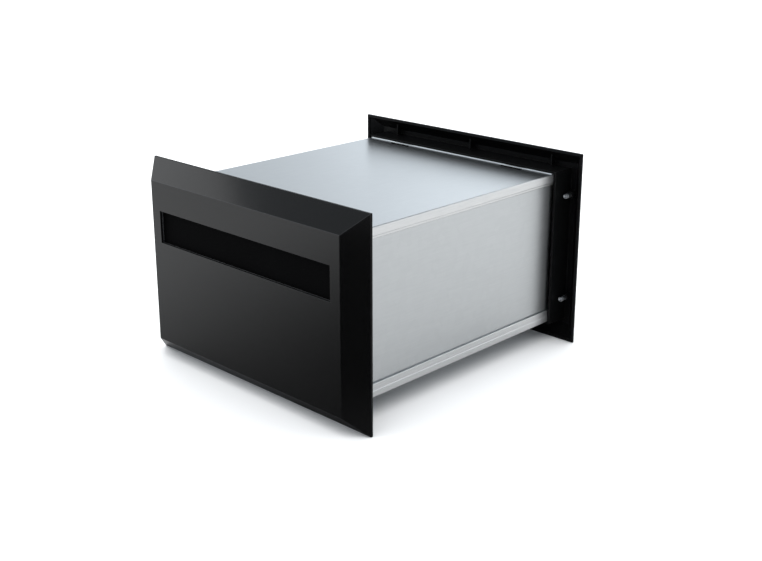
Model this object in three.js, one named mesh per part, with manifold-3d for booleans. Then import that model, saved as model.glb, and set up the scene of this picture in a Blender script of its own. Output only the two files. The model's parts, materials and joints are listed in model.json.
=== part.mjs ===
// A through-wall letterbox: a galvanised sleeve that crosses the wall, a bevelled black cover with a
// letter slot and a sprung flap on the street side, and a bevelled black frame with a lockable door
// on the house side. Millimetres, +Z up, +Y from the street into the house. The origin is under the
// middle of the letterbox, level with the bottom edge of both covers.
import * as THREE from 'three';
import { mergeVertices } from 'three/addons/utils/BufferGeometryUtils.js';
import Module from 'manifold-3d';

// ---- Driving sizes ----
const wallDepth = 405;        // between the rims of the two covers
const coverWidth = 410;
const coverHeight = 275;
const rimEdge = 3;            // straight edge of a cover, before its bevel
const bevel = 25;             // rise and run of the 45 degree bevel
const rimLand = 4;            // width of the rim that presses on the wall
const skin = 3;               // moulded wall of the covers
const fit = 0.3;              // gap between pieces that seat on each other
const past = 1;               // how far a cut runs past the face it opens
const sunk = 0.5;             // how far a joined shape runs into the one that carries it

const collarWall = 3;
const collarReach = 20;       // past the rim, into the wall opening
const collarInsetSide = 2.7;  // from the plateau's edge to the collar's outer face
const collarInsetTop = 1.2;

const sheet = 1;              // galvanised steel
const hem = 3;                // folded side flanges of the top and bottom panels
const topHemHeight = 15;
const bottomHemHeight = 18;
const beadHeight = 1.5;       // pressed across the top panel, just before each collar
const beadWidth = 1.2;
const beadMargin = 1.5;       // from the bead's end to the panel's side

const armWidth = 36;          // snap arms that hook the covers into the sleeve
const armSpacing = 214;
const armThickness = 2.3;
const hookLength = 3;
const hookDepth = 30;         // from the rim to the hook's far side

const bushRadius = 3.5;       // threaded bushes for the tie screws between the covers
const bushBore = 2;
const bushLength = 18;
const bushStandout = 5.5;     // past the rim
const bushEnd = 4;            // solid end of the bush, inside the boss
const bushSpacing = 151;
const bossWall = 1.5;
const bossTop = 4.5;          // depth of the boss's face behind the rim
const bushFromCollar = 6.7;

const ribThickness = 2;
const ribSpacing = 148;
const ribLength = 9;

const slotHeight = 44;
const slotDrop = 39.5;        // from the plateau's top edge to the slot
const slotMargin = 6.2;       // from the sleeve's inner side to the slot's end
const sealThickness = 2;
const sealWidth = 3;

const flapThickness = 2.4;
const flapOverlap = 4;        // below the slot
const flapSideGap = 2.7;      // to the sleeve's inner side
const flapLip = 4;            // stiffening lip along the flap's lower edge
const flapShoulder = 2.5;     // from the lugs' edge down to the flap's full width
const hingeBay = 7.6;         // from the front plate to the sleeve's end, where the flap hangs
const pinRadius = 2;
const barrelWall = 1.3;
const pinAboveSlot = 10;
const lugThickness = 3;
const lugRadius = 5.5;
const lugSideGap = 1.3;
const springBay = 18;         // length of the flap's side notch, where the springs are
const wireRadius = 0.5;
const springPlay = 0.7;       // between the pin and the coil
const springTurns = 5;
const springLeg = 12;         // fixed leg, up from the pin
const springArmLength = 19;   // moving leg, down the flap

const floorThickness = 2.7;
const pocketLip = 3.5;        // plateau left around the door
const doorThickness = 5.7;
const doorGap = 0.5;
const doorSkin = 2.5;
const doorRim = 6;            // solid edge round the door's hollow back
const doorRibSetback = 1;     // from the door's inner face to its ribs
const doorPinRadius = 1.5;
const doorPinInDoor = 7.5;
const doorPinInFrame = 2.7;
const openingInset = 6;       // from the sleeve's outer face to the edge of the rear opening
const doorSealThickness = 1;
const doorSealWidth = 4;
const doorSealSetback = 2;    // from the opening's edge to the seal

const lockInset = 26;         // from the door's free edge to the lock
const lockRadius = 7;
const lockFlange = 10;
const lockFlangeThickness = 1.7;
const lockNutRadius = 9.5;
const lockNutThickness = 3;
const lockPadMargin = 3;      // of the door's thick pad round the nut
const plugRadius = 4.7;
const lockLength = 16;
const camLength = 17;
const camWidth = 9;
const camThickness = 2.5;
const tang = 5;               // square end of the plug that carries the cam
const keywayWidth = 1.2;
const keywayLength = 6;
const keywayDepth = 3;
const camScrewHead = 3.2;
const camScrewShank = 1.3;
const camScrewHeadHeight = 2;
const screwSlotWidth = 0.8;
const screwSlotDepth = 0.8;
const screwEndGap = 1.5;      // from the screw's end to the end of its hole
const strikeHeight = 28;
const strikeClear = 11;       // from the lock's axis to the strike lug

// ---- What follows from them ----
const midHeight = coverHeight / 2;
const coverDepth = rimEdge + bevel;
const plateauHalfWidth = coverWidth / 2 - bevel;
const plateauHalfHeight = coverHeight / 2 - bevel;
const plateInner = coverDepth - skin;                  // depth of the front plate's inner face
const collarHalfWidth = plateauHalfWidth - collarInsetSide;
const collarHalfHeight = plateauHalfHeight - collarInsetTop;
const sleeveHalfWidth = collarHalfWidth - collarWall - fit;
const sleeveHalfHeight = collarHalfHeight - collarWall - fit;
const innerHalfWidth = sleeveHalfWidth - hem - fit - sheet;
const bushX = collarHalfWidth + bushFromCollar;
const doorInner = coverDepth - doorThickness;          // depth of the door's inner face
const floorOuter = doorInner - doorSealThickness - 2 * fit;
const rearFloor = floorOuter - floorThickness;         // depth of the rear frame's floor, wall side
const sleeveEnds = [hingeBay - plateInner - wallDepth / 2, wallDepth / 2 + rearFloor - 2 * fit];
const slotHalfWidth = innerHalfWidth - slotMargin;
const slotTop = midHeight + plateauHalfHeight - slotDrop;
const slotBottom = slotTop - slotHeight;
const armTop = midHeight + sleeveHalfHeight - sheet - fit;
const flapHalfWidth = innerHalfWidth - flapSideGap;
const barrelHalfWidth = flapHalfWidth - springBay;
const barrelRadius = pinRadius + fit + barrelWall;
const flapFace = plateInner - sealThickness - 2 * fit;  // depth of the flap's outer face
const pinDepth = plateInner - barrelRadius - 2 * fit;
const pinHeight = slotTop + pinAboveSlot;
const lugOuter = innerHalfWidth - lugSideGap;
const springRadius = pinRadius + springPlay + wireRadius;
const pocketHalfWidth = plateauHalfWidth - pocketLip;
const pocketHalfHeight = plateauHalfHeight - pocketLip;
const doorHalfWidth = pocketHalfWidth - doorGap;
const doorHalfHeight = pocketHalfHeight - doorGap;
const doorRadius = doorThickness / 2;
const doorAxisX = -(doorHalfWidth - doorRadius);
const doorAxisDepth = coverDepth - doorRadius;
const openingHalfWidth = sleeveHalfWidth - openingInset;
const openingHalfHeight = sleeveHalfHeight - openingInset;
const lockX = doorHalfWidth - lockInset;
const lockInner = coverDepth - lockLength;              // depth of the lock housing's inner end
const camDepth = lockInner - fit - camThickness;

// ---- Solids ----
const wasm = await Module();
wasm.setup();

function solid(geometry) {
  const bare = geometry.index ? geometry.toNonIndexed() : geometry;
  const points = new THREE.BufferGeometry().setAttribute('position', bare.getAttribute('position'));
  const merged = mergeVertices(points, 1e-4);
  return new wasm.Manifold(new wasm.Mesh({
    numProp: 3,
    vertProperties: merged.attributes.position.array,
    triVerts: new Uint32Array(merged.index.array),
  }));
}

function geometryOf(made) {
  const mesh = made.getMesh();
  const points = new Float32Array(mesh.numVert * 3);
  for (let i = 0; i < mesh.numVert; i++) {
    points.set(mesh.vertProperties.subarray(i * mesh.numProp, i * mesh.numProp + 3), i * 3);
  }
  const geometry = new THREE.BufferGeometry();
  geometry.setAttribute('position', new THREE.BufferAttribute(points, 3));
  geometry.setIndex(new THREE.BufferAttribute(mesh.triVerts, 1));
  geometry.computeVertexNormals();
  return geometry;
}

const join = (first, ...others) => others.reduce((sum, other) => sum.add(other), first);
const cut = (first, ...others) => others.reduce((rest, other) => rest.subtract(other), first);

function box([x0, x1], [y0, y1], [z0, z1]) {
  const block = new THREE.BoxGeometry(x1 - x0, y1 - y0, z1 - z0);
  return solid(block.translate((x0 + x1) / 2, (y0 + y1) / 2, (z0 + z1) / 2));
}

// A round bar along x, y or z, from a to b, with its axis through the point given by the other two.
function bar(axis, radius, [a, b], [p, q], sides = 24) {
  const rod = new THREE.CylinderGeometry(radius, radius, b - a, sides);
  const middle = (a + b) / 2;
  if (axis === 'x') return solid(rod.rotateZ(Math.PI / 2).translate(middle, p, q));
  if (axis === 'y') return solid(rod.translate(p, middle, q));
  return solid(rod.rotateX(Math.PI / 2).translate(p, q, middle));
}

function outline(points) {
  return new THREE.Shape(points.map(([a, b]) => new THREE.Vector2(a, b)));
}

// An outline given as (x, y), extruded along z.
function alongZ(shape, [z0, z1], curveSegments = 12) {
  const made = new THREE.ExtrudeGeometry(shape, { depth: z1 - z0, bevelEnabled: false, curveSegments });
  return solid(made.translate(0, 0, z0));
}

// An outline given as (y, z), extruded along x.
function alongX(shape, [x0, x1]) {
  const made = new THREE.ExtrudeGeometry(shape, { depth: x1 - x0, bevelEnabled: false });
  const turned = new THREE.Matrix4().makeBasis(
    new THREE.Vector3(0, 1, 0), new THREE.Vector3(0, 0, 1), new THREE.Vector3(1, 0, 0));
  return solid(made.applyMatrix4(turned).translate(x0, 0, 0));
}

// A round wire along a list of points.
function wire(points, radius, steps, sides = 8) {
  const section = new THREE.Shape().absarc(0, 0, radius, 0, 2 * Math.PI);
  const extrudePath = new THREE.CatmullRomCurve3(points);
  return solid(new THREE.ExtrudeGeometry(section, { steps, extrudePath, curveSegments: sides / 2 }));
}

// ---- Materials ----
function finish(color, roughness, metalness) {
  return new THREE.MeshStandardMaterial({ color, roughness, metalness });
}

const blackPlastic = finish(0x1b1b1d, 0.35, 0);
const glossBlack = finish(0x080808, 0.15, 0);
const galvanised = finish(0xc4c9cc, 0.4, 0.9);
const zinc = finish(0xb9bcbe, 0.3, 1);
const springSteel = finish(0x8a8c8e, 0.3, 1);
const foam = finish(0x202022, 0.9, 0);
const chrome = finish(0xd0d2d4, 0.12, 1);

function piece(name, made, material, parent) {
  const mesh = new THREE.Mesh(geometryOf(made), material);
  mesh.name = name;
  parent.add(mesh);
  return mesh;
}

// ---- Covers, in their own frame: x across, y outwards from the rim, z up ----

// A block with mitred 45 degree bevels, from two prisms whose section depends on the half size.
function bevelledBlock(section) {
  const across = alongZ(outline(section(coverWidth / 2)), [-past, coverHeight + past]);
  const upright = section(coverHeight / 2).map(([offset, depth]) => [depth, offset + midHeight]);
  return across.intersect(alongX(outline(upright), [-coverWidth, coverWidth]));
}

const outerSection = (half) => [
  [-half, 0], [half, 0], [half, rimEdge],
  [half - bevel, coverDepth], [bevel - half, coverDepth], [-half, rimEdge],
];

function innerSection(floor) {
  return (half) => {
    const slope = half + rimEdge - skin * Math.SQRT2;   // offset plus depth, on the inner bevel face
    const mouth = half - rimLand;
    return [
      [-mouth, -past], [mouth, -past], [mouth, slope - mouth],
      [slope - floor, floor], [floor - slope, floor], [-mouth, slope - mouth],
    ];
  };
}

function centred(halfWidth, halfHeight, depths) {
  return box([-halfWidth, halfWidth], depths, [midHeight - halfHeight, midHeight + halfHeight]);
}

function collar(floor) {
  const whole = centred(collarHalfWidth, collarHalfHeight, [-collarReach, floor + sunk]);
  return whole.subtract(centred(collarHalfWidth - collarWall, collarHalfHeight - collarWall,
    [-collarReach - past, floor + past]));
}

function boss(x, z, floor) {
  return bar('y', bushRadius + fit + bossWall, [bossTop, floor + sunk], [x, z]);
}

function bossBore(x, z) {
  return bar('y', bushRadius + fit, [bossTop - past, bushLength - bushStandout + fit], [x, z]);
}

// A thin rib between the collar and the bevel, above or below the collar.
function rib(x, side, floor) {
  const near = midHeight + side * (collarHalfHeight - sunk);
  const far = midHeight + side * (coverHeight / 2 - rimLand);
  const sides = [x - ribThickness / 2, x + ribThickness / 2];
  return box(sides, [floor - ribLength, floor + sunk], [Math.min(near, far), Math.max(near, far)]);
}

function snapArm(x, floor) {
  const sides = [x - armWidth / 2, x + armWidth / 2];
  const arm = box(sides, [-hookDepth, floor + sunk], [armTop - armThickness, armTop]);
  const hook = box(sides, [-hookDepth, hookLength - hookDepth],
    [armTop - armThickness, armTop + sheet + 3 * fit]);
  return arm.add(hook);
}

const bushPlaces = [-1, 1].flatMap((side) => [-1, 1].map((end) => [
  side * bushX, midHeight + end * bushSpacing / 2,
]));

// What both covers share: the bevelled pan, the collar, the bosses, the ribs and the snap arms.
function coverShell(floor) {
  const outer = bevelledBlock(outerSection);
  const inner = bevelledBlock(innerSection(floor));
  const fillings = [collar(floor)];
  for (const [x, z] of bushPlaces) fillings.push(boss(x, z, floor));
  for (const x of [-ribSpacing, 0, ribSpacing]) {
    fillings.push(rib(x, -1, floor), rib(x, 1, floor));
  }
  const envelope = outer.add(centred(collarHalfWidth, collarHalfHeight, [-collarReach, sunk]));
  const inside = fillings.reduce((sum, other) => sum.add(other)).intersect(envelope);
  const shell = outer.subtract(inner).add(inside);
  const holes = bushPlaces.map(([x, z]) => bossBore(x, z));
  const arms = [-1, 1].map((side) => snapArm(side * armSpacing / 2, floor));
  return join(cut(shell, ...holes), ...arms);
}

function tieBush() {
  const depths = [-bushStandout, bushLength - bushStandout];
  const bore = bar('y', bushBore, [-bushStandout - past, depths[1] - bushEnd], [0, 0], 16);
  return bar('y', bushRadius, depths, [0, 0]).subtract(bore);
}

function addBushes(group, prefix) {
  bushPlaces.forEach(([x, z], i) => {
    piece(`${prefix}_tie_bush_${i + 1}`, tieBush(), zinc, group).position.set(x, 0, z);
  });
}

// ---- Sleeve ----

const sleeveTop = midHeight + sleeveHalfHeight;
const sleeveBottom = midHeight - sleeveHalfHeight;

function flange(side, heights) {
  const a = side * sleeveHalfWidth;
  const b = side * (sleeveHalfWidth - hem);
  return box([Math.min(a, b), Math.max(a, b)], sleeveEnds, heights);
}

// The slots that the hooks come through, and the bead before the collar, at one end of a panel.
function hookSlots(end, heights) {
  const far = wallDepth / 2 - hookDepth - 2 * fit;
  const near = wallDepth / 2 - hookDepth + hookLength + 2 * fit;
  const length = end > 0 ? [far, near] : [-near, -far];
  return [-1, 1].map((side) => {
    const x = side * armSpacing / 2;
    return box([x - armWidth / 2 - 2 * fit, x + armWidth / 2 + 2 * fit], length, heights);
  });
}

function bead(end) {
  const y = end * (wallDepth / 2 - collarReach - 2 * beadWidth);
  const half = sleeveHalfWidth - beadMargin;
  return box([-half, half], [y - beadWidth / 2, y + beadWidth / 2],
    [sleeveTop - sheet / 2, sleeveTop + beadHeight]);
}

function topPanel() {
  const heights = [sleeveTop - topHemHeight, sleeveTop - sheet / 2];
  const plate = box([-sleeveHalfWidth, sleeveHalfWidth], sleeveEnds, [sleeveTop - sheet, sleeveTop]);
  const whole = join(plate, flange(-1, heights), flange(1, heights), bead(-1), bead(1));
  const through = [sleeveTop - sheet - past, sleeveTop + past];
  return cut(whole, ...hookSlots(-1, through), ...hookSlots(1, through));
}

function bottomPanel() {
  const heights = [sleeveBottom + sheet / 2, sleeveBottom + bottomHemHeight];
  const plate = box([-sleeveHalfWidth, sleeveHalfWidth], sleeveEnds, [sleeveBottom, sleeveBottom + sheet]);
  return join(plate, flange(-1, heights), flange(1, heights));
}

function sidePanel(side) {
  const a = side * innerHalfWidth;
  const b = side * (innerHalfWidth + sheet);
  return box([Math.min(a, b), Math.max(a, b)], sleeveEnds,
    [sleeveBottom + sheet + fit, sleeveTop - sheet - fit]);
}

// ---- Street side: cover, flap, pin, springs and seal ----

function frontCover() {
  const plate = [plateInner - past, coverDepth + past];
  const slot = box([-slotHalfWidth, slotHalfWidth], plate, [slotBottom, slotTop]);
  const lugs = [-1, 1].map((side) => {
    const ends = [side * lugOuter, side * (lugOuter - lugThickness)].sort((a, b) => a - b);
    const eye = bar('x', lugRadius, ends, [pinDepth, pinHeight]);
    return eye.add(box(ends, [pinDepth, plateInner + sunk], [pinHeight - lugRadius, pinHeight + lugRadius]));
  });
  const pinHole = bar('x', pinRadius + fit, [-lugOuter - past, lugOuter + past], [pinDepth, pinHeight]);
  return cut(join(cut(coverShell(plateInner), slot), ...lugs), pinHole);
}

// A U of foam round the sides and the bottom of the slot, that the flap closes on.
function flapSeal() {
  const depths = [plateInner - fit - sealThickness, plateInner - fit];
  const half = slotHalfWidth + fit;
  const top = pinHeight - lugRadius - 2 * fit;
  const whole = box([-half - sealWidth, half + sealWidth], depths, [slotBottom - fit - sealWidth, top]);
  const inside = box([-half, half], [depths[0] - past, depths[1] + past], [slotBottom - fit, top + past]);
  return whole.subtract(inside);
}

// The flap and its springs are drawn about the pin: y is depth and z is height from the pin's axis.
function letterFlap() {
  const face = flapFace - pinDepth;
  const bottom = slotBottom - flapOverlap - pinHeight;
  const shoulder = -lugRadius - flapShoulder;
  const depths = [face - flapThickness, face];
  const plate = box([-flapHalfWidth, flapHalfWidth], depths, [bottom, shoulder]);
  const neck = box([-barrelHalfWidth, barrelHalfWidth], depths, [shoulder - sunk, 0]);
  const lip = box([-flapHalfWidth, flapHalfWidth], [face - flapThickness - flapLip, face - sunk],
    [bottom, bottom + flapThickness]);
  const barrel = bar('x', barrelRadius, [-barrelHalfWidth, barrelHalfWidth], [0, 0]);
  const pinHole = bar('x', pinRadius + fit, [-flapHalfWidth - past, flapHalfWidth + past], [0, 0]);
  return join(plate, neck, lip, barrel).subtract(pinHole);
}

function hingePin() {
  return bar('x', pinRadius, [-lugOuter, lugOuter], [0, 0]);
}

// The wound part of a torsion spring, and the leg that bears on the cover above the pin.
function springCoil(side) {
  const pitch = 2 * wireRadius + 2 * fit;
  const start = barrelHalfWidth + pitch + wireRadius + fit;
  const stepsPerTurn = 12;
  const points = [];
  for (let i = 0; i <= springTurns * stepsPerTurn; i++) {
    const angle = 2 * Math.PI * i / stepsPerTurn;
    const x = side * (start + pitch * i / stepsPerTurn);
    points.push(new THREE.Vector3(x, springRadius * Math.cos(angle), springRadius * Math.sin(angle)));
  }
  const last = points[points.length - 1];
  for (const share of [0.25, 0.5, 0.75, 1]) {
    points.push(new THREE.Vector3(last.x, springRadius, share * springLeg));
  }
  return wire(points, wireRadius, 2 * points.length, 6);
}

// The spring's end turn and the leg that presses on the flap: it turns with the flap.
function springArm(side) {
  const x = side * (barrelHalfWidth + wireRadius + fit);
  const turn = new THREE.TorusGeometry(springRadius, wireRadius, 6, 20);
  const ring = solid(turn.rotateY(Math.PI / 2).translate(x, 0, 0));
  const rest = flapFace - pinDepth - flapThickness - wireRadius - fit;
  const bend = (rest - springRadius) / 2;
  const leg = [[-springRadius, 0], [-springRadius, -3], [bend, -9], [rest, -15], [rest, -springArmLength]];
  return ring.add(wire(leg.map(([y, z]) => new THREE.Vector3(x, y, z)), wireRadius, 16, 6));
}

// ---- House side: frame, door, pins, seal and lock ----

function rearFrame() {
  const pocket = centred(pocketHalfWidth, pocketHalfHeight, [floorOuter, coverDepth + past]);
  const opening = centred(openingHalfWidth, openingHalfHeight, [rearFloor - past, coverDepth + past]);
  const strike = box([lockX + strikeClear, openingHalfWidth + sunk], [lockInner, floorOuter],
    [midHeight - strikeHeight / 2, midHeight + strikeHeight / 2]);
  const pinHoles = [-1, 1].map((end) => {
    const heights = [pocketHalfHeight - past, pocketHalfHeight + doorPinInFrame + fit]
      .map((height) => midHeight + end * height)
      .sort((a, b) => a - b);
    return bar('z', doorPinRadius + fit, heights, [doorAxisX, doorAxisDepth]);
  });
  return cut(join(cut(coverShell(rearFloor), pocket, opening), strike), ...pinHoles);
}

function doorSeal() {
  const depths = [floorOuter + fit, floorOuter + fit + doorSealThickness];
  const innerWidth = openingHalfWidth + doorSealSetback;
  const innerHeight = openingHalfHeight + doorSealSetback;
  const inside = centred(innerWidth, innerHeight, [depths[0] - past, depths[1] + past]);
  return centred(innerWidth + doorSealWidth, innerHeight + doorSealWidth, depths).subtract(inside);
}

// The door is drawn about its hinge: x from the axis, y outwards from it, z from the door's middle.
const doorEdge = doorHalfWidth - doorAxisX;      // from the hinge axis to the free edge
const lockFromHinge = lockX - doorAxisX;

function rearDoor() {
  const section = new THREE.Shape();
  section.moveTo(doorEdge, -doorRadius);
  section.lineTo(doorEdge, doorRadius);
  section.lineTo(0, doorRadius);
  section.absarc(0, 0, doorRadius, Math.PI / 2, 3 * Math.PI / 2, false);
  const slab = alongZ(section, [-doorHalfHeight, doorHalfHeight]);
  const under = doorRadius - doorSkin;           // inner face of the door's skin
  const hollow = box([doorRadius + doorRim, doorEdge - doorRim], [-doorRadius - past, under],
    [doorRim - doorHalfHeight, doorHalfHeight - doorRim]);
  const depths = [doorRibSetback - doorRadius, under + sunk];
  const upright = (x) => box([x - ribThickness / 2, x + ribThickness / 2], depths,
    [doorRim - sunk - doorHalfHeight, doorHalfHeight - doorRim + sunk]);
  const level = box([doorRadius + doorRim - sunk, doorEdge - doorRim + sunk], depths,
    [-ribThickness / 2, ribThickness / 2]);
  const padHalf = lockNutRadius + lockPadMargin;
  const pad = box([lockFromHinge - padHalf, lockFromHinge + padHalf], [-doorRadius, under + sunk],
    [-padHalf, padHalf]);
  const lockHole = bar('y', lockRadius + fit, [-doorRadius - past, doorRadius + past], [lockFromHinge, 0]);
  const pinHoles = [-1, 1].map((end) => {
    const heights = [end * (doorHalfHeight - doorPinInDoor - fit), end * (doorHalfHeight + past)];
    return bar('z', doorPinRadius + fit, heights.sort((a, b) => a - b), [0, 0]);
  });
  const ribs = [doorEdge / 3, 2 * doorEdge / 3].map(upright);
  return cut(join(slab.subtract(hollow), ...ribs, level, pad), lockHole, ...pinHoles);
}

function doorPin(end) {
  const inner = end * (doorHalfHeight - doorPinInDoor);
  const outer = end * (pocketHalfHeight + doorPinInFrame);
  return bar('z', doorPinRadius, [Math.min(inner, outer), Math.max(inner, outer)], [0, 0]);
}

// The lock is drawn about its own axis, with y as depth behind the rear frame's rim.
function lockHousing() {
  const barrel = bar('y', lockRadius, [lockInner, coverDepth + 2 * fit], [0, 0]);
  const flangeDepths = [coverDepth + fit, coverDepth + fit + lockFlangeThickness];
  const disc = bar('y', lockFlange, flangeDepths, [0, 0], 32);
  return barrel.add(disc).subtract(bar('y', plugRadius + fit, [0, 2 * coverDepth], [0, 0]));
}

function lockNut() {
  const depths = [doorInner - fit - lockNutThickness, doorInner - fit];
  const hole = bar('y', lockRadius + fit, [0, coverDepth], [0, 0]);
  return bar('y', lockNutRadius, depths, [0, 0], 6).subtract(hole);
}

function lockPlug() {
  const face = coverDepth + lockFlangeThickness;
  const core = bar('y', plugRadius, [lockInner, face], [0, 0]);
  const square = box([-tang / 2, tang / 2], [camDepth, lockInner + sunk], [-tang / 2, tang / 2]);
  const keyway = box([-keywayWidth / 2, keywayWidth / 2], [face - keywayDepth, face + past],
    [-keywayLength / 2, keywayLength / 2]);
  const screwHole = bar('y', camScrewShank + fit, [camDepth - past, lockInner], [0, 0], 16);
  return cut(core.add(square), keyway, screwHole);
}

function lockCam() {
  const depths = [camDepth, camDepth + camThickness];
  const tip = camLength - camWidth / 2;
  const arm = box([-camWidth / 2, camWidth / 2], depths, [-tip, 0]);
  const hole = box([-tang / 2 - fit, tang / 2 + fit], [0, coverDepth], [-tang / 2 - fit, tang / 2 + fit]);
  const heel = bar('y', camWidth / 2 + 1, depths, [0, 0]);
  return join(arm, heel, bar('y', camWidth / 2, depths, [0, -tip])).subtract(hole);
}

function camScrew() {
  const under = camDepth - fit;
  const top = under - camScrewHeadHeight;
  const head = bar('y', camScrewHead, [top, under], [0, 0], 20);
  const shank = bar('y', camScrewShank, [under - sunk, lockInner - screwEndGap], [0, 0], 16);
  const slot = box([-camScrewHead, camScrewHead], [top - past, top + screwSlotDepth],
    [-screwSlotWidth / 2, screwSlotWidth / 2]);
  return head.add(shank).subtract(slot);
}

// ---- Assembly ----

function sleeve() {
  const group = new THREE.Group();
  piece('top_panel', topPanel(), galvanised, group);
  piece('bottom_panel', bottomPanel(), galvanised, group);
  piece('left_side_panel', sidePanel(-1), galvanised, group);
  piece('right_side_panel', sidePanel(1), galvanised, group);
  return group;
}

function flap() {
  const group = new THREE.Group();
  group.position.set(0, pinDepth, pinHeight);
  piece('letter_flap', letterFlap(), glossBlack, group);
  piece('flap_hinge_pin', hingePin(), zinc, group);
  // This group is turned half round with the front cover, so -x here is the letterbox's right.
  for (const [name, side] of [['left', 1], ['right', -1]]) {
    piece(`flap_spring_${name}`, springCoil(side), springSteel, group);
    piece(`flap_spring_arm_${name}`, springArm(side), springSteel, group);
  }
  return group;
}

function streetSide() {
  const group = new THREE.Group();
  group.rotation.z = Math.PI;
  group.position.y = -wallDepth / 2;
  piece('front_cover', frontCover(), blackPlastic, group);
  piece('flap_seal', flapSeal(), foam, group);
  addBushes(group, 'front');
  group.add(flap());
  return group;
}

function lock() {
  const group = new THREE.Group();
  group.position.set(lockX, 0, midHeight);
  piece('lock_housing', lockHousing(), chrome, group);
  piece('lock_nut', lockNut(), zinc, group);
  piece('lock_plug', lockPlug(), chrome, group);
  piece('lock_cam', lockCam(), zinc, group);
  piece('cam_screw', camScrew(), zinc, group);
  return group;
}

function door() {
  const group = new THREE.Group();
  group.position.set(doorAxisX, doorAxisDepth, midHeight);
  piece('rear_door', rearDoor(), blackPlastic, group);
  piece('door_hinge_pin_top', doorPin(1), zinc, group);
  piece('door_hinge_pin_bottom', doorPin(-1), zinc, group);
  return group;
}

function houseSide() {
  const group = new THREE.Group();
  group.position.y = wallDepth / 2;
  piece('rear_frame', rearFrame(), blackPlastic, group);
  piece('door_seal', doorSeal(), foam, group);
  addBushes(group, 'rear');
  group.add(door(), lock());
  return group;
}

const letterbox = new THREE.Group();
letterbox.add(sleeve(), streetSide(), houseSide());

export default letterbox;
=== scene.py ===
import json
import math

import bmesh
import bpy
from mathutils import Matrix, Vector


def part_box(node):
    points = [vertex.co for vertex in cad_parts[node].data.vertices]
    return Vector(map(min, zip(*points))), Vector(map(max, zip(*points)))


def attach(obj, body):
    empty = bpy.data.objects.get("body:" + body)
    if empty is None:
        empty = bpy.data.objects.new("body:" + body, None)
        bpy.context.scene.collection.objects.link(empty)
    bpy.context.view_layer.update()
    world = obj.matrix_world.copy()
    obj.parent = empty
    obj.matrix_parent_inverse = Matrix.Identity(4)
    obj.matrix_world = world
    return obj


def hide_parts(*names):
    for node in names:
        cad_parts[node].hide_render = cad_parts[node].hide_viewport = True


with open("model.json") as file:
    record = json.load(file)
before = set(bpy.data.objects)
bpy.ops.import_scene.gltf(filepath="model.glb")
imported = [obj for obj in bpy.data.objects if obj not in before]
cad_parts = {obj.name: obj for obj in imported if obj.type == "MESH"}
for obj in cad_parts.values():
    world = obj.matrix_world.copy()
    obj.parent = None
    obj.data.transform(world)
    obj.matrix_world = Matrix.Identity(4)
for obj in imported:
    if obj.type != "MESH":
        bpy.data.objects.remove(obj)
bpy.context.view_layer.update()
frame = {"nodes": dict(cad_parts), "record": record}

MM = 0.001
ROOT = "sleeve_and_covers"    # the body that doesn't move

# The sleeve's folded sheet, in millimetres. Heights and half widths are to the sheet's middle.
SHEET = 1.0
TOP_SHEET = 245.0
BOTTOM_SHEET = 30.0
INNER_LEG = 171.5             # half width at the leg that is folded back inside the sleeve
HEM_RADIUS = 0.74             # nearly half the gap between the two legs of a hem
LIP_RADIUS = 0.3
CORNER_RADIUS = 0.8
SHEET_EDGE = 0.12             # the cut edges are broken by this much
HEM_BAND = 172.6              # faces further out than this belong to the hems, which get a painted sheen

# The snap hooks come up through slots in the top sheet, two near each end, beside a bead.
HOOK_MIDDLE = 107.0           # half the distance between the two hooks of one cover
SLOT_HALF_WIDTH = 18.6
SLOT_NEAR, SLOT_FAR = 170.0, 176.1
BEAD_LINE = 180.1             # from the middle of the sleeve, along y
BEAD_MIDDLE = 245.6           # height of the bead's middle, so that half of it is in the sheet
BEAD_SIZE = (345.0, 1.0, 2.0)

BUSH_RADIUS = 3.5
BUSH_LENGTH = 18.0
THREAD_PITCH = 0.7


# ---- Short ways to place nodes ----

def feed(tree, socket, value):
    """Gives a socket a constant, or links it to another node's output."""
    if isinstance(value, bpy.types.NodeSocket):
        tree.links.new(value, socket)
    else:
        socket.default_value = value


def map_range(tree, value, low, high, to_low, to_high, smooth=False):
    node = tree.nodes.new("ShaderNodeMapRange")
    if smooth:
        node.interpolation_type = "SMOOTHSTEP"
    ends = {"From Min": low, "From Max": high, "To Min": to_low, "To Max": to_high}
    for label, number in ends.items():
        node.inputs[label].default_value = number
    tree.links.new(value, node.inputs["Value"])
    return node.outputs["Result"]


def maths(tree, operation, a, b):
    node = tree.nodes.new("ShaderNodeMath")
    node.operation = operation
    feed(tree, node.inputs[0], a)
    feed(tree, node.inputs[1], b)
    return node.outputs["Value"]


def texture(tree, kind, vector, scale, **settings):
    node = tree.nodes.new(kind)
    feed(tree, node.inputs["Vector"], vector)
    feed(tree, node.inputs["Scale"], scale)
    for label, value in settings.items():
        node.inputs[label].default_value = value
    return node


def mix_colours(tree, factor, a, b):
    """Mixes two colours by a mask. Each is a colour with alpha, or a socket."""
    node = tree.nodes.new("ShaderNodeMix")
    node.data_type = "RGBA"
    tree.links.new(factor, node.inputs["Factor"])
    for socket, value in zip([s for s in node.inputs if s.type == "RGBA"], (a, b)):
        feed(tree, socket, value)
    return next(s for s in node.outputs if s.type == "RGBA")


# ---- Camera, lights and floor ----

def make_camera():
    looks_down, turned = 0.3013, 0.7704
    data = bpy.data.cameras.new("camera")
    data.lens = 54.0
    data.sensor_width = 36.0
    data.shift_y = -0.0525
    camera = bpy.data.objects.new("camera", data)
    camera.location = (1.0630, -1.0733, 0.6231)
    camera.rotation_euler = (math.pi / 2 - looks_down, 0.0, turned)
    bpy.context.scene.collection.objects.link(camera)
    bpy.context.scene.camera = camera


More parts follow.
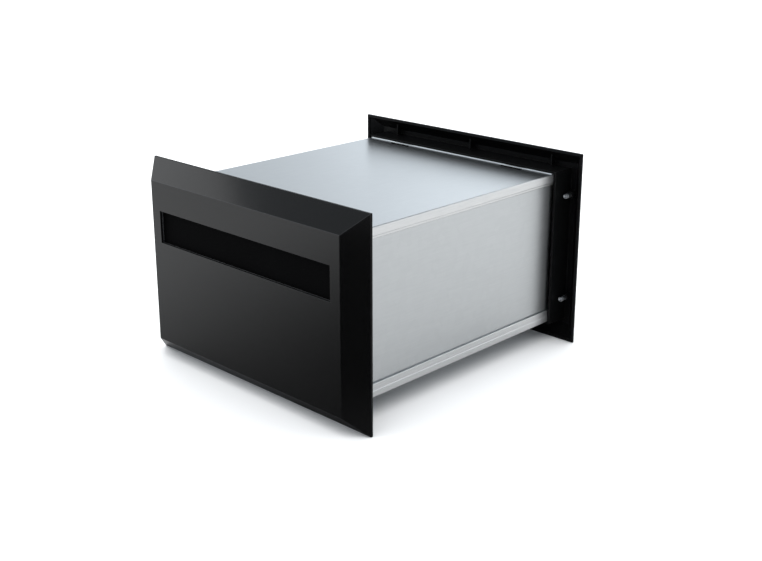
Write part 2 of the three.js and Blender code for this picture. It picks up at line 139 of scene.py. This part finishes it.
def make_softbox(name, place, target, size, power):
    data = bpy.data.lights.new(name, "AREA")
    data.shape = "RECTANGLE"
    data.size, data.size_y = size
    data.energy = power
    light = bpy.data.objects.new(name, data)
    light.location = place
    light.rotation_euler = (Vector(target) - Vector(place)).to_track_quat("-Z", "Y").to_euler()
    bpy.context.scene.collection.objects.link(light)


def make_overhead_light():
    """Even light from above, from a wide lamp that isn't seen in reflections."""
    data = bpy.data.lights.new("overhead", "SUN")
    data.energy = 4.2
    data.angle = math.radians(120)
    light = bpy.data.objects.new("overhead", data)
    light.rotation_euler = (math.radians(-8), math.radians(-10), 0)
    light.visible_glossy = False
    bpy.context.scene.collection.objects.link(light)


def make_world():
    """A studio with white walls. Low down they are bright, most of all behind the house side, and
    overhead they are dim. The camera itself sees plain white."""
    towards_house = (-0.2, 0.95, 0.0)
    # How far a direction points to the house side, and how bright the wall is there
    walls = ((0.1, 0.6), (0.55, 0.3), (0.72, 0.38), (0.88, 0.8), (1.0, 0.95))
    low_glow, overhead_glow = 2.35, 0.6
    glow_ends, dimmest_above = 0.3, 0.58
    cool_white, white = (0.87, 0.935, 1.0, 1.0), (1.0, 1.0, 1.0, 1.0)

    world = bpy.data.worlds.new("studio")
    bpy.context.scene.world = world
    world.use_nodes = True
    tree = world.node_tree
    tree.nodes.clear()
    add, link = tree.nodes.new, tree.links.new
    direction = add("ShaderNodeTexCoord").outputs["Generated"]
    split = add("ShaderNodeSeparateXYZ")
    link(direction, split.inputs["Vector"])
    height = map_range(tree, split.outputs["Z"], glow_ends, dimmest_above, low_glow, overhead_glow)

    side = add("ShaderNodeVectorMath")
    side.operation = "DOT_PRODUCT"
    side.inputs[1].default_value = towards_house
    link(direction, side.inputs[0])
    turn = add("ShaderNodeValToRGB")
    turn.color_ramp.interpolation = "EASE"
    turn.color_ramp.elements[0].position = walls[0][0]
    turn.color_ramp.elements[1].position = walls[-1][0]
    for place, _ in walls[1:-1]:
        turn.color_ramp.elements.new(place)
    for element, (_, value) in zip(turn.color_ramp.elements, walls):
        element.color = (value, value, value, 1.0)
    link(side.outputs["Value"], turn.inputs["Fac"])

    seen = add("ShaderNodeLightPath").outputs["Is Camera Ray"]
    strength = add("ShaderNodeMix")
    strength.inputs["B"].default_value = 1.0
    link(seen, strength.inputs["Factor"])
    link(maths(tree, "MULTIPLY", height, turn.outputs["Color"]), strength.inputs["A"])
    background = add("ShaderNodeBackground")
    link(strength.outputs["Result"], background.inputs["Strength"])
    link(mix_colours(tree, seen, cool_white, white), background.inputs["Color"])
    output = add("ShaderNodeOutputWorld")
    link(background.outputs["Background"], output.inputs["Surface"])


def make_floor():
    """Pale paper as the camera sees it. In glossy rays only, painted shade: the paper turns darker,
    with a painted dark patch in front of the street side and lighter paper towards the house side,
    so the object's reflections show painted shade.
    """
    half_size, paper = 60.0, 0.9
    just_below = -0.4 * MM
    # Painted shade in reflections: the dark patch and the darker paper are seen only by glossy
    # rays.
    painted_dark_patch_centre = (0.5, -0.62, 0.0)
    painted_dark_patch_edge = (0.3, 1.15)
    painted_dark_patch_tone, reflected_paper_shade, reflected_rear_shade = 0.01, 0.48, 0.45
    rear_from, rear_to = -0.24, -0.12

    bm = bmesh.new()
    bmesh.ops.create_grid(bm, x_segments=1, y_segments=1, size=half_size)
    bmesh.ops.translate(bm, verts=bm.verts, vec=(0, 0, just_below))
    mesh = bpy.data.meshes.new("floor")
    bm.to_mesh(mesh)
    bm.free()
    floor = bpy.data.objects.new("floor", mesh)
    bpy.context.scene.collection.objects.link(floor)

    material = bpy.data.materials.new("floor_paper_painted_reflection")
    material.use_nodes = True
    tree = material.node_tree
    add, link = tree.nodes.new, tree.links.new
    shader = tree.nodes["Principled BSDF"]
    shader.inputs["Roughness"].default_value = 0.9
    shader.inputs["Specular IOR Level"].default_value = 0.0
    where = add("ShaderNodeTexCoord").outputs["Object"]
    away = add("ShaderNodeVectorMath")
    away.operation = "DISTANCE"
    away.inputs[1].default_value = painted_dark_patch_centre
    link(where, away.inputs[0])
    painted_dark_patch_ramp = map_range(tree, away.outputs["Value"], *painted_dark_patch_edge, painted_dark_patch_tone, reflected_paper_shade,
                           smooth=True)
    split = add("ShaderNodeSeparateXYZ")
    link(where, split.inputs["Vector"])
    painted_rear_ramp = map_range(tree, split.outputs["Y"], rear_from, rear_to, 0.0, reflected_rear_shade)
    # Glossy rays see the painted shade; the camera and the other rays see the plain paper.
    tone = add("ShaderNodeMix")
    tone.inputs["A"].default_value = paper
    link(add("ShaderNodeLightPath").outputs["Is Glossy Ray"], tone.inputs["Factor"])
    link(maths(tree, "MAXIMUM", painted_dark_patch_ramp, painted_rear_ramp), tone.inputs["B"])
    colour = add("ShaderNodeCombineColor")
    for channel in ("Red", "Green", "Blue"):
        link(tone.outputs["Result"], colour.inputs[channel])
    link(colour.outputs["Color"], shader.inputs["Base Color"])
    mesh.materials.append(material)


make_camera()
make_world()
make_floor()
make_overhead_light()
make_softbox("left_softbox", (-2.3, -0.9, 1.3), (-0.1, -0.2, 0.2), (1.6, 1.2), 5.5)
make_softbox("rear_softbox", (0.9, 2.6, 1.2), (0.1, 0.1, 0.1), (1.8, 1.0), 9)
bpy.context.scene.view_settings.view_transform = "Standard"


# ---- Shader groups: each puts out a mask or a height that changes over the surface ----

def new_group(name, inputs, outputs):
    """A group that reads a position, and the other inputs given as label: (kind, value)."""
    group = bpy.data.node_groups.new(name, "ShaderNodeTree")
    group.interface.new_socket("Vector", in_out="INPUT", socket_type="NodeSocketVector")
    for label, (kind, value) in inputs.items():
        socket = group.interface.new_socket(label, in_out="INPUT", socket_type="NodeSocket" + kind)
        socket.default_value = value
    for label in outputs:
        group.interface.new_socket(label, in_out="OUTPUT", socket_type="NodeSocketFloat")
    given = group.nodes.new("NodeGroupInput").outputs
    out = group.nodes.new("NodeGroupOutput").inputs
    return group, given, out


def split_colour(group, colour):
    split = group.nodes.new("ShaderNodeSeparateColor")
    group.links.new(colour, split.inputs["Color"])
    return split.outputs


def spangle_group():
    """Zinc crystals: flat patches of slightly different tone, each with a feathered frost."""
    group, given, out = new_group("zinc_spangle", {"Scale": ("Float", 90.0)}, ["Tone", "Frost"])
    pull = (0.008, 0.008, 0.008)
    warp = texture(group, "ShaderNodeTexNoise", given["Vector"], 60.0, Detail=3.0)
    pulled = group.nodes.new("ShaderNodeVectorMath")
    pulled.operation = "MULTIPLY_ADD"
    pulled.inputs[1].default_value = pull
    group.links.new(warp.outputs["Color"], pulled.inputs[0])
    group.links.new(given["Vector"], pulled.inputs[2])
    place = pulled.outputs["Vector"]
    crystals = texture(group, "ShaderNodeTexVoronoi", place, given["Scale"])
    tones = split_colour(group, crystals.outputs["Color"])
    frost = texture(group, "ShaderNodeTexNoise", place, 350.0, Detail=3.0, Roughness=0.6)
    group.links.new(tones["Red"], out["Tone"])
    group.links.new(maths(group, "MULTIPLY", frost.outputs["Fac"], tones["Green"]), out["Frost"])
    return group


def stroke_group():
    """Fine strokes along one direction, for rolled sheet, drawn wire and turning marks."""
    group, given, out = new_group("fine_strokes", {
        "Stretch": ("Vector", (1.0, 1.0, 1.0)), "Scale": ("Float", 400.0)}, ["Mask"])
    stretch = group.nodes.new("ShaderNodeVectorMath")
    stretch.operation = "MULTIPLY"
    group.links.new(given["Vector"], stretch.inputs[0])
    group.links.new(given["Stretch"], stretch.inputs[1])
    strokes = texture(group, "ShaderNodeTexNoise", stretch.outputs["Vector"], given["Scale"],
                      Detail=5.0, Roughness=0.65)
    group.links.new(map_range(group, strokes.outputs["Fac"], 0.3, 0.7, 0.0, 1.0), out["Mask"])
    return group


def smudge_group():
    """Soft uneven patches where a surface was handled or the moulding cooled unevenly."""
    group, given, out = new_group("handling_smudges", {"Scale": ("Float", 9.0)}, ["Mask"])
    patches = texture(group, "ShaderNodeTexNoise", given["Vector"], given["Scale"],
                      Detail=6.0, Roughness=0.6, Distortion=0.6)
    group.links.new(map_range(group, patches.outputs["Fac"], 0.35, 0.68, 0.0, 1.0), out["Mask"])
    return group


def dust_group():
    """Sparse specks of pale dust: a spot in the middle of some cells."""
    group, given, out = new_group("dust_specks", {
        "Scale": ("Float", 420.0), "Amount": ("Float", 0.1)}, ["Mask"])
    cells = texture(group, "ShaderNodeTexVoronoi", given["Vector"], given["Scale"])
    spot = map_range(group, cells.outputs["Distance"], 0.08, 0.2, 1.0, 0.0)
    lot = split_colour(group, cells.outputs["Color"])["Blue"]
    chosen = maths(group, "LESS_THAN", lot, given["Amount"])
    group.links.new(maths(group, "MULTIPLY", spot, chosen), out["Mask"])
    return group


def wear_group():
    """Rubbed edges: the softened corners, broken up by noise."""
    group, given, out = new_group("edge_wear", {
        "Edge": ("Float", 0.0), "Scale": ("Float", 160.0)}, ["Mask"])
    broken = texture(group, "ShaderNodeTexNoise", given["Vector"], given["Scale"], Detail=4.0)
    patchy = map_range(group, broken.outputs["Fac"], 0.42, 0.62, 0.0, 1.0)
    group.links.new(maths(group, "MULTIPLY", given["Edge"], patchy), out["Mask"])
    return group


SPANGLE = spangle_group()
STROKES = stroke_group()
SMUDGES = smudge_group()
DUST = dust_group()
WEAR = wear_group()


# ---- Materials ----
# Each metal's roughness stays on one side of 0.27. Where a surface crosses that, the renderer's
# clean-up treats neighbouring spots differently and leaves speckles.

class Finish:
    """A material with its Principled shader, and short ways to place groups and mixes in it."""

    def __init__(self, name, **constants):
        self.material = bpy.data.materials.new(name)
        self.material.use_nodes = True
        self.tree = self.material.node_tree
        self.shader = self.tree.nodes["Principled BSDF"]
        for label, value in constants.items():
            self.shader.inputs[label.replace("_", " ")].default_value = value
        self.place = self.tree.nodes.new("ShaderNodeTexCoord").outputs["Object"]

    def attribute(self, name):
        """A mark on the piece's own faces."""
        node = self.tree.nodes.new("ShaderNodeAttribute")
        node.attribute_name = name
        return node.outputs["Fac"]

    def group(self, group, **values):
        node = self.tree.nodes.new("ShaderNodeGroup")
        node.node_tree = group
        self.tree.links.new(self.place, node.inputs["Vector"])
        if "Edge" in node.inputs:
            self.tree.links.new(self.attribute("edge"), node.inputs["Edge"])
        for label, value in values.items():
            node.inputs[label].default_value = value
        return node.outputs

    def mask(self, group, **values):
        return self.group(group, **values)["Mask"]

    def mix(self, factor, a, b):
        """Mixes two colours by a mask; a and b are colours or sockets."""
        a, b = [(*c, 1.0) if isinstance(c, tuple) else c for c in (a, b)]
        return mix_colours(self.tree, factor, a, b)

    def range(self, value, to_low, to_high, high=1.0):
        return map_range(self.tree, value, 0.0, high, to_low, to_high)

    def add(self, a, b):
        return maths(self.tree, "ADD", a, b)

    def scale(self, a, b):
        return maths(self.tree, "MULTIPLY", a, b)

    def noise(self, scale, detail):
        node = texture(self.tree, "ShaderNodeTexNoise", self.place, scale, Detail=detail)
        return node.outputs["Fac"]

    def to(self, label, value):
        self.tree.links.new(value, self.shader.inputs[label])

    def bump(self, height, distance):
        node = self.tree.nodes.new("ShaderNodeBump")
        node.inputs["Distance"].default_value = distance
        self.tree.links.new(height, node.inputs["Height"])
        self.to("Normal", node.outputs["Normal"])


def galvanised_steel(name, rolling):
    """Zinc-coated sheet: dull spangle, rolling strokes along one direction, a slow waviness, and
    a paler colour painted over the hems, a painted sheen for the light that the hems catch."""
    dark_crystal, pale_crystal = (0.635, 0.655, 0.66), (0.655, 0.675, 0.68)
    bloomed, edge_wear_and_painted_hem_sheen = (0.69, 0.705, 0.71), (0.83, 0.835, 0.83)
    rolled, bare = (0.57, 0.59, 0.60), (0.9, 0.9, 0.9)
    f = Finish(name, Metallic=1.0)
    spangle = f.group(SPANGLE, Scale=95.0)
    strokes = f.mask(STROKES, Stretch=rolling, Scale=420.0)
    bloom = f.mask(SMUDGES, Scale=7.0)
    zinc = f.mix(spangle["Tone"], dark_crystal, pale_crystal)
    zinc = f.mix(f.scale(bloom, 0.12), zinc, bloomed)
    # Painted sheen: the hem faces are painted paler, for the light that the hems catch.
    zinc = f.mix(f.attribute("painted_hem_sheen"), zinc, edge_wear_and_painted_hem_sheen)
    zinc = f.mix(f.scale(strokes, 0.35), zinc, rolled)
    f.to("Base Color", f.mix(f.scale(f.mask(WEAR), 0.5), zinc, bare))
    rough = f.add(f.range(spangle["Tone"], 0.288, 0.298), f.scale(spangle["Frost"], 0.008))
    f.to("Roughness", f.add(rough, f.scale(bloom, 0.01)))
    fine = f.add(f.scale(strokes, 0.003), f.scale(spangle["Frost"], 0.0003))
    f.bump(f.add(f.noise(4.0, 0.0), fine), 0.25 * MM)
    return f.material


def black_plastic(name, base, roughness, gloss):
    """Black moulding: slightly uneven gloss, faint ripple, a little dust, rubbed edges."""
    black, greyer = (base, base, base * 1.05), (base * 1.4, base * 1.4, base * 1.5)
    # Here the paler colour is only the wear on rubbed edges.
    dust_colour, edge_wear_and_painted_hem_sheen = (0.12, 0.12, 0.115), (0.02, 0.02, 0.021)
    f = Finish(name, Specular_IOR_Level=gloss)
    dust = f.mask(DUST, Amount=0.03)
    smudges = f.mask(SMUDGES, Scale=11.0)
    swirls = f.mask(STROKES, Stretch=(1.0, 1.0, 0.35), Scale=900.0)
    colour = f.mix(f.scale(smudges, 0.5), black, greyer)
    colour = f.mix(f.scale(dust, 0.12), colour, dust_colour)
    f.to("Base Color", f.mix(f.scale(f.mask(WEAR), 0.3), colour, edge_wear_and_painted_hem_sheen))
    rough = f.add(f.range(smudges, roughness, roughness * 1.08), f.scale(swirls, 0.01))
    f.to("Roughness", f.add(rough, f.scale(dust, 0.1)))
    ripple, grain = f.noise(26.0, 1.0), f.noise(900.0, 2.0)
    f.bump(f.add(ripple, f.scale(grain, 0.012)), 0.04 * MM)
    return f.material


def plated_metal(name, colour, roughness, stretch):
    """Bright plate with turning or drawing marks and finger marks."""
    dull = tuple(0.8 * c for c in colour)
    bright = tuple(min(1.0, 1.2 * c) for c in colour)
    f = Finish(name, Metallic=1.0)
    marks = f.mask(STROKES, Stretch=stretch, Scale=1800.0)
    smudges = f.mask(SMUDGES, Scale=60.0)
    wear = f.mask(WEAR, Scale=500.0)
    f.to("Base Color", f.mix(f.scale(wear, 0.6), f.mix(smudges, colour, dull), bright))
    f.to("Roughness", f.add(f.range(smudges, roughness, roughness + 0.12), f.scale(marks, 0.06)))
    f.bump(marks, 0.01 * MM)
    return f.material


def foam_rubber(name):
    """Closed-cell foam strip."""
    dark, paler, dust_colour = (0.016, 0.016, 0.018), (0.028, 0.028, 0.03), (0.14, 0.14, 0.135)
    f = Finish(name)
    cells = texture(f.tree, "ShaderNodeTexVoronoi", f.place, 1600.0).outputs["Distance"]
    dust = f.mask(DUST, Amount=0.12)
    colour = f.mix(f.mask(SMUDGES, Scale=40.0), dark, paler)
    f.to("Base Color", f.mix(f.scale(dust, 0.5), colour, dust_colour))
    f.to("Roughness", f.range(cells, 0.95, 0.75, high=0.6))
    f.bump(cells, 0.15 * MM)
    return f.material


# The unpolished black is the same plastic where the mould was left matt.
MOULDED_BLACK = black_plastic("black_plastic_unpolished", 0.0027, 0.32, 0.1)
SLOT_FINISH = {
    "galvanised_steel": galvanised_steel("galvanised_steel", (1.0, 0.06, 1.0)),
    "black_plastic": black_plastic("black_plastic", 0.0016, 0.12, 0.5),
    "flap_plastic": black_plastic("flap_plastic", 0.0018, 0.6, 0.012),
    "zinc_plate": plated_metal("zinc_plate", (0.54, 0.55, 0.56), 0.3, (1.0, 0.08, 1.0)),
    "spring_steel": plated_metal("spring_steel", (0.38, 0.38, 0.39), 0.31, (0.2, 1.0, 1.0)),
    "lock_chrome": plated_metal("lock_chrome", (0.74, 0.74, 0.755), 0.08, (1.0, 0.1, 1.0)),
    "foam_rubber": foam_rubber("foam_rubber"),
}


# ---- Making pieces ----

def finish_piece(name, bm, slot, body, nodes=(), smooth_under=35.0):
    """Turns a bmesh into a shaded piece that rides on a body and stands for the CAD nodes."""
    mesh = bpy.data.meshes.new(name)
    bm.to_mesh(mesh)
    bm.free()
    mesh.shade_smooth()
    mesh.set_sharp_from_angle(angle=math.radians(smooth_under))
    piece = bpy.data.objects.new(name, mesh)
    bpy.context.scene.collection.objects.link(piece)
    mesh.materials.append(SLOT_FINISH[slot])
    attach(piece, body)
    if nodes:
        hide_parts(*nodes)
    return piece


def even_shading(piece):
    """Keeps flat faces flat beside their softened edges."""
    modifier = piece.modifiers.new("even_shading", "WEIGHTED_NORMAL")
    modifier.keep_sharp = True
    modifier.weight = 100


def bevel_edges(bm, edges, offset, segments):
    return bmesh.ops.bevel(bm, geom=edges, offset=offset, offset_type="OFFSET", segments=segments,
                           profile=0.5, affect="EDGES", clamp_overlap=False, material=-1)


def merged_copy(node):
    """A clean copy of a CAD node's mesh, with its flat faces whole."""
    bm = bmesh.new()
    bm.from_mesh(frame["nodes"][node].data)
    bmesh.ops.remove_doubles(bm, verts=bm.verts, dist=0.004 * MM)
    bmesh.ops.dissolve_degenerate(bm, edges=bm.edges, dist=0.01 * MM)
    bmesh.ops.dissolve_limit(bm, angle_limit=math.radians(0.4), verts=bm.verts, edges=bm.edges)
    return bm


def soften(bm, radius, segments):
    """Rounds the sharp edges, and marks the rounding in the attribute edge."""
    sharp_over = math.radians(28.0)
    mark = bm.faces.layers.float.new("edge")
    sharp = [e for e in bm.edges if len(e.link_faces) == 2 and e.calc_face_angle() > sharp_over]
    for face in bevel_edges(bm, sharp, radius, segments)["faces"]:
        face[mark] = 1.0


def softened(node, radius, slot, body):
    """The CAD node's own shape with its edges rounded."""
    bm = merged_copy(node)
    soften(bm, radius, 3 if radius > 0.4 * MM else 2)
    piece = finish_piece(node + "_shell", bm, slot, body, [node])
    even_shading(piece)
    return piece


def polish_outside(piece, outwards):
    """Faces that look out of the wall are polished, and the rest keeps the mould's finish."""
    collars_end = 0.19        # nearer the sleeve's middle there are only collars and snap arms
    leans_out = 0.3
    piece.data.materials.append(MOULDED_BLACK)
    for face in piece.data.polygons:
        polished = face.normal.y * outwards > leans_out and face.center.y * outwards >= collars_end
        face.material_index = 0 if polished else 1


# ---- The sleeve, in folded sheet ----

def cut_slots(bm):
    """Cuts the flat sheet along the slots' sides and takes the slots out."""
    smallest = 0.001          # square metres, which leaves out the hems' narrow strips
    xs = {side * (HOOK_MIDDLE + end * SLOT_HALF_WIDTH) * MM for side in (-1, 1) for end in (-1, 1)}
    ys = {side * depth * MM for side in (-1, 1) for depth in (SLOT_NEAR, SLOT_FAR)}
    for across, values in ((Vector((1, 0, 0)), xs), (Vector((0, 1, 0)), ys)):
        for value in sorted(values):
            flat = [f for f in bm.faces if abs(f.normal.z) > 0.99 and f.calc_area() > smallest]
            edges = list(dict.fromkeys(e for f in flat for e in f.edges))
            verts = list(dict.fromkeys(v for f in flat for v in f.verts))
            bmesh.ops.bisect_plane(bm, geom=flat + edges + verts, dist=1e-7,
                                   plane_co=across * value, plane_no=across)
    out = []
    for face in bm.faces:
        middle = face.calc_center_median() / MM
        if (abs(face.normal.z) > 0.99 and abs(abs(middle.x) - HOOK_MIDDLE) < SLOT_HALF_WIDTH
                and SLOT_NEAR < abs(middle.y) < SLOT_FAR):
            out.append(face)
    bmesh.ops.delete(bm, geom=out, context="FACES")


def folded_panel(name, half_path, radii, node, slotted=False):
    """A sheet drawn as its middle line in x and z, from the free end of one leg to the middle,
    mirrored, run along y, bent to the radii at the path's corners and given its thickness."""
    low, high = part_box(node)
    path = [(-x, z) for x, z in half_path] + half_path[::-1]
    bm = bmesh.new()
    line = [bm.verts.new((x * MM, low[1], z * MM)) for x, z in path]
    edges = [bm.edges.new(pair) for pair in zip(line, line[1:])]
    run = bmesh.ops.extrude_edge_only(bm, edges=edges)
    moved = [g for g in run["geom"] if isinstance(g, bmesh.types.BMVert)]
    bmesh.ops.translate(bm, verts=moved, vec=(0, high[1] - low[1], 0))
    for (x, z), radius in zip(half_path[1:], radii):
        bends = []
        for edge in bm.edges:
            one, other = (v.co for v in edge.verts)
            if (abs(abs(one.x) - x * MM) < 0.01 * MM and abs(one.z - z * MM) < 0.01 * MM
                    and abs(one.y - other.y) > 0.1):
                bends.append(edge)
        bevel_edges(bm, bends, radius * MM, 4)
    if slotted:
        cut_slots(bm)
    bmesh.ops.recalc_face_normals(bm, faces=bm.faces)
    # Painted sheen: the hem faces are marked, and the material paints them paler for the light they
    # catch.
    painted_hem_sheen = bm.faces.layers.float.new("painted_hem_sheen")
    for face in bm.faces:
        face[painted_hem_sheen] = 1.0 if abs(face.calc_center_median().x) > HEM_BAND * MM else 0.0

    piece = finish_piece(name, bm, "galvanised_steel", ROOT, [node])
    sheet = piece.modifiers.new("sheet", "SOLIDIFY")
    sheet.thickness = SHEET * MM
    sheet.offset = 0.0
    sheet.use_even_offset = True
    edge = piece.modifiers.new("edge", "BEVEL")
    edge.width = SHEET_EDGE * MM
    edge.segments = 2
    edge.limit_method = "ANGLE"
    edge.angle_limit = math.radians(60)
    even_shading(piece)


def make_sleeve():
    """The top and bottom panels. Each side has a leg, a hem, a small lip and the outer corner."""
    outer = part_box("top_panel")[1][0] / MM - SHEET / 2
    radii = (HEM_RADIUS, HEM_RADIUS, LIP_RADIUS, LIP_RADIUS, CORNER_RADIUS)
    folded_panel("top_panel_sheet", [
        (INNER_LEG, 241.0), (INNER_LEG, 231.0), (173.0, 231.0), (173.0, 234.0), (outer, 234.6),
        (outer, TOP_SHEET)], radii, "top_panel", slotted=True)
    folded_panel("bottom_panel_sheet", [
        (INNER_LEG, 34.0), (INNER_LEG, 47.0), (173.1, 47.0), (173.1, 38.4), (outer, 37.8),
        (outer, BOTTOM_SHEET)], radii, "bottom_panel")
    make_bead("top_panel_bead_front", -1)
    make_bead("top_panel_bead_rear", 1)


def make_bead(name, side):
    """The ridge pressed across the top panel, which bulges towards each hook. side is -1 at the
    street end and 1 at the house end."""
    steps = (-22, -16, -8, 8, 16, 22)
    bulge, bulge_reach = 0.9, 10
    shoulder, shoulder_reach = 0.45, 17
    bm = bmesh.new()
    bmesh.ops.create_cube(bm, size=1.0)
    bmesh.ops.scale(bm, verts=bm.verts, vec=Vector(BEAD_SIZE) * MM)
    for middle in (-HOOK_MIDDLE, HOOK_MIDDLE):
        for step in steps:
            bmesh.ops.bisect_plane(bm, geom=bm.verts[:] + bm.edges[:] + bm.faces[:], dist=1e-7,
                                   plane_co=((middle + step) * MM, 0, 0), plane_no=(1, 0, 0))
    crests = [e for e in bm.edges if e.verts[0].co.z > 0 and e.verts[1].co.z > 0
              and abs(e.verts[0].co.y - e.verts[1].co.y) < 1e-6]
    bevel_edges(bm, crests, 0.42 * MM, 3)
    for vert in bm.verts:
        from_hook = abs(abs(vert.co.x) - HOOK_MIDDLE * MM)
        if from_hook < bulge_reach * MM:
            vert.co.y -= side * bulge * MM
        elif from_hook < shoulder_reach * MM:
            vert.co.y -= side * shoulder * MM
    bmesh.ops.translate(bm, verts=bm.verts, vec=(0, side * BEAD_LINE * MM, BEAD_MIDDLE * MM))
    even_shading(finish_piece(name, bm, "galvanised_steel", ROOT))


# ---- Threaded bushes ----

def make_bush(node):
    """A turned bush with a blind threaded bore, a groove near its end and chamfered rims. The
    profile is radius and distance from the end that faces the wall, in millimetres."""
    low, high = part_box(node)
    x, z = (low[0] + high[0]) / 2, (low[2] + high[2]) / 2
    nearest = min(abs(low[1]), abs(high[1]))
    profile = [(0.0, 14.8), (1.6, 14.0)]
    turn = 13.6
    while turn > 1.2:
        profile += [(1.65, turn), (2.0, turn - THREAD_PITCH / 2)]
        turn -= THREAD_PITCH
    profile += [(1.9, 0.6), (2.4, 0.0), (3.1, 0.0), (BUSH_RADIUS, 0.4),
                (BUSH_RADIUS, 2.2), (3.2, 2.5), (3.2, 3.0), (BUSH_RADIUS, 3.3),
                (BUSH_RADIUS, BUSH_LENGTH), (0.0, BUSH_LENGTH)]
    bm = bmesh.new()
    line = [bm.verts.new((r * MM, nearest + run * MM, 0)) for r, run in profile]
    edges = [bm.edges.new(pair) for pair in zip(line, line[1:])]
    bmesh.ops.spin(bm, geom=line + edges, cent=(0, 0, 0), axis=(0, 1, 0), angle=2 * math.pi,
                   steps=40, use_merge=True, use_duplicate=False)
    bmesh.ops.remove_doubles(bm, verts=bm.verts, dist=1e-6)
    if high[1] < 0:
        bmesh.ops.scale(bm, verts=bm.verts, vec=(1, -1, 1))
    bmesh.ops.recalc_face_normals(bm, faces=bm.faces)
    bmesh.ops.translate(bm, verts=bm.verts, vec=(x, 0, z))
    finish_piece(node + "_turned", bm, "zinc_plate", ROOT, [node], smooth_under=25.0)


SLOT_OF = {p["node"]: p["material_slot"] for p in frame["record"]["subparts"]}
BODY_OF = {node: body for body, nodes in frame["record"]["behaviour"]["bodies"].items()
           for node in nodes}
ROUNDING = {                  # millimetres
    "front_cover": 0.45, "rear_frame": 0.45, "rear_door": 0.45, "letter_flap": 0.4,
    "left_side_panel": 0.15, "right_side_panel": 0.15,
    "flap_hinge_pin": 0.3, "door_hinge_pin_top": 0.3, "door_hinge_pin_bottom": 0.3,
    "lock_housing": 0.35, "lock_nut": 0.35, "lock_plug": 0.2, "lock_cam": 0.3, "cam_screw": 0.2,
    "flap_seal": 0.4, "door_seal": 0.3,
}
POLISHED = {"front_cover": -1, "rear_frame": 1, "rear_door": 1}    # and which way along y they face
for node, millimetres in ROUNDING.items():
    piece = softened(node, millimetres * MM, SLOT_OF[node], BODY_OF[node])
    if node in POLISHED:
        polish_outside(piece, POLISHED[node])

make_sleeve()
for node in frame["nodes"]:
    if node.startswith(("front_tie_bush", "rear_tie_bush")):
        make_bush(node)
    elif node.startswith("flap_spring"):
        finish_piece(node + "_wire", merged_copy(node), SLOT_OF[node], BODY_OF[node], [node],
                     smooth_under=60.0)
